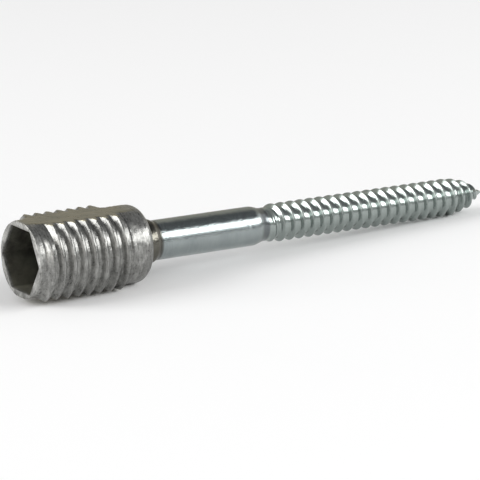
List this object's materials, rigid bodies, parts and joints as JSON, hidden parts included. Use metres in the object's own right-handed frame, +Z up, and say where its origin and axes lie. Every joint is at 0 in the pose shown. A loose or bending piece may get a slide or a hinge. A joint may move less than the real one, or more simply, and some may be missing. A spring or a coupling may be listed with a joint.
{
  "type": "frame screw",
  "caption": "Adjustable frame screw: a cast sleeve with an outside thread and a hexagon socket turns on the head end of a plated wood screw, to set a door or window frame.",
  "frame": {"origin": "centre of the underside of the bounding box, on the surface that the part lies on", "axes": "+X along the screw toward its tip, +Z up, +Y completes a right-handed frame; the screw's axis falls toward the tip as the part rests"},
  "size_m": [0.1096, 0.0176, 0.0158],
  "materials": {
    "cast_zinc": "dull die-cast zinc, mottled",
    "plated_steel": "bright bluish zinc plating"
  },
  "bodies": {
    "sleeve": {"sleeve": "cast_zinc"},
    "screw": {"screw": "plated_steel"}
  },
  "joints": [
    {"name": "screw_turn", "type": "hinge", "parent": "sleeve", "child": "screw", "pos_m": [-0.02927, 0, 0.00737], "axis": [0.9989, 0, -0.0464], "continuous": true}
  ]
}
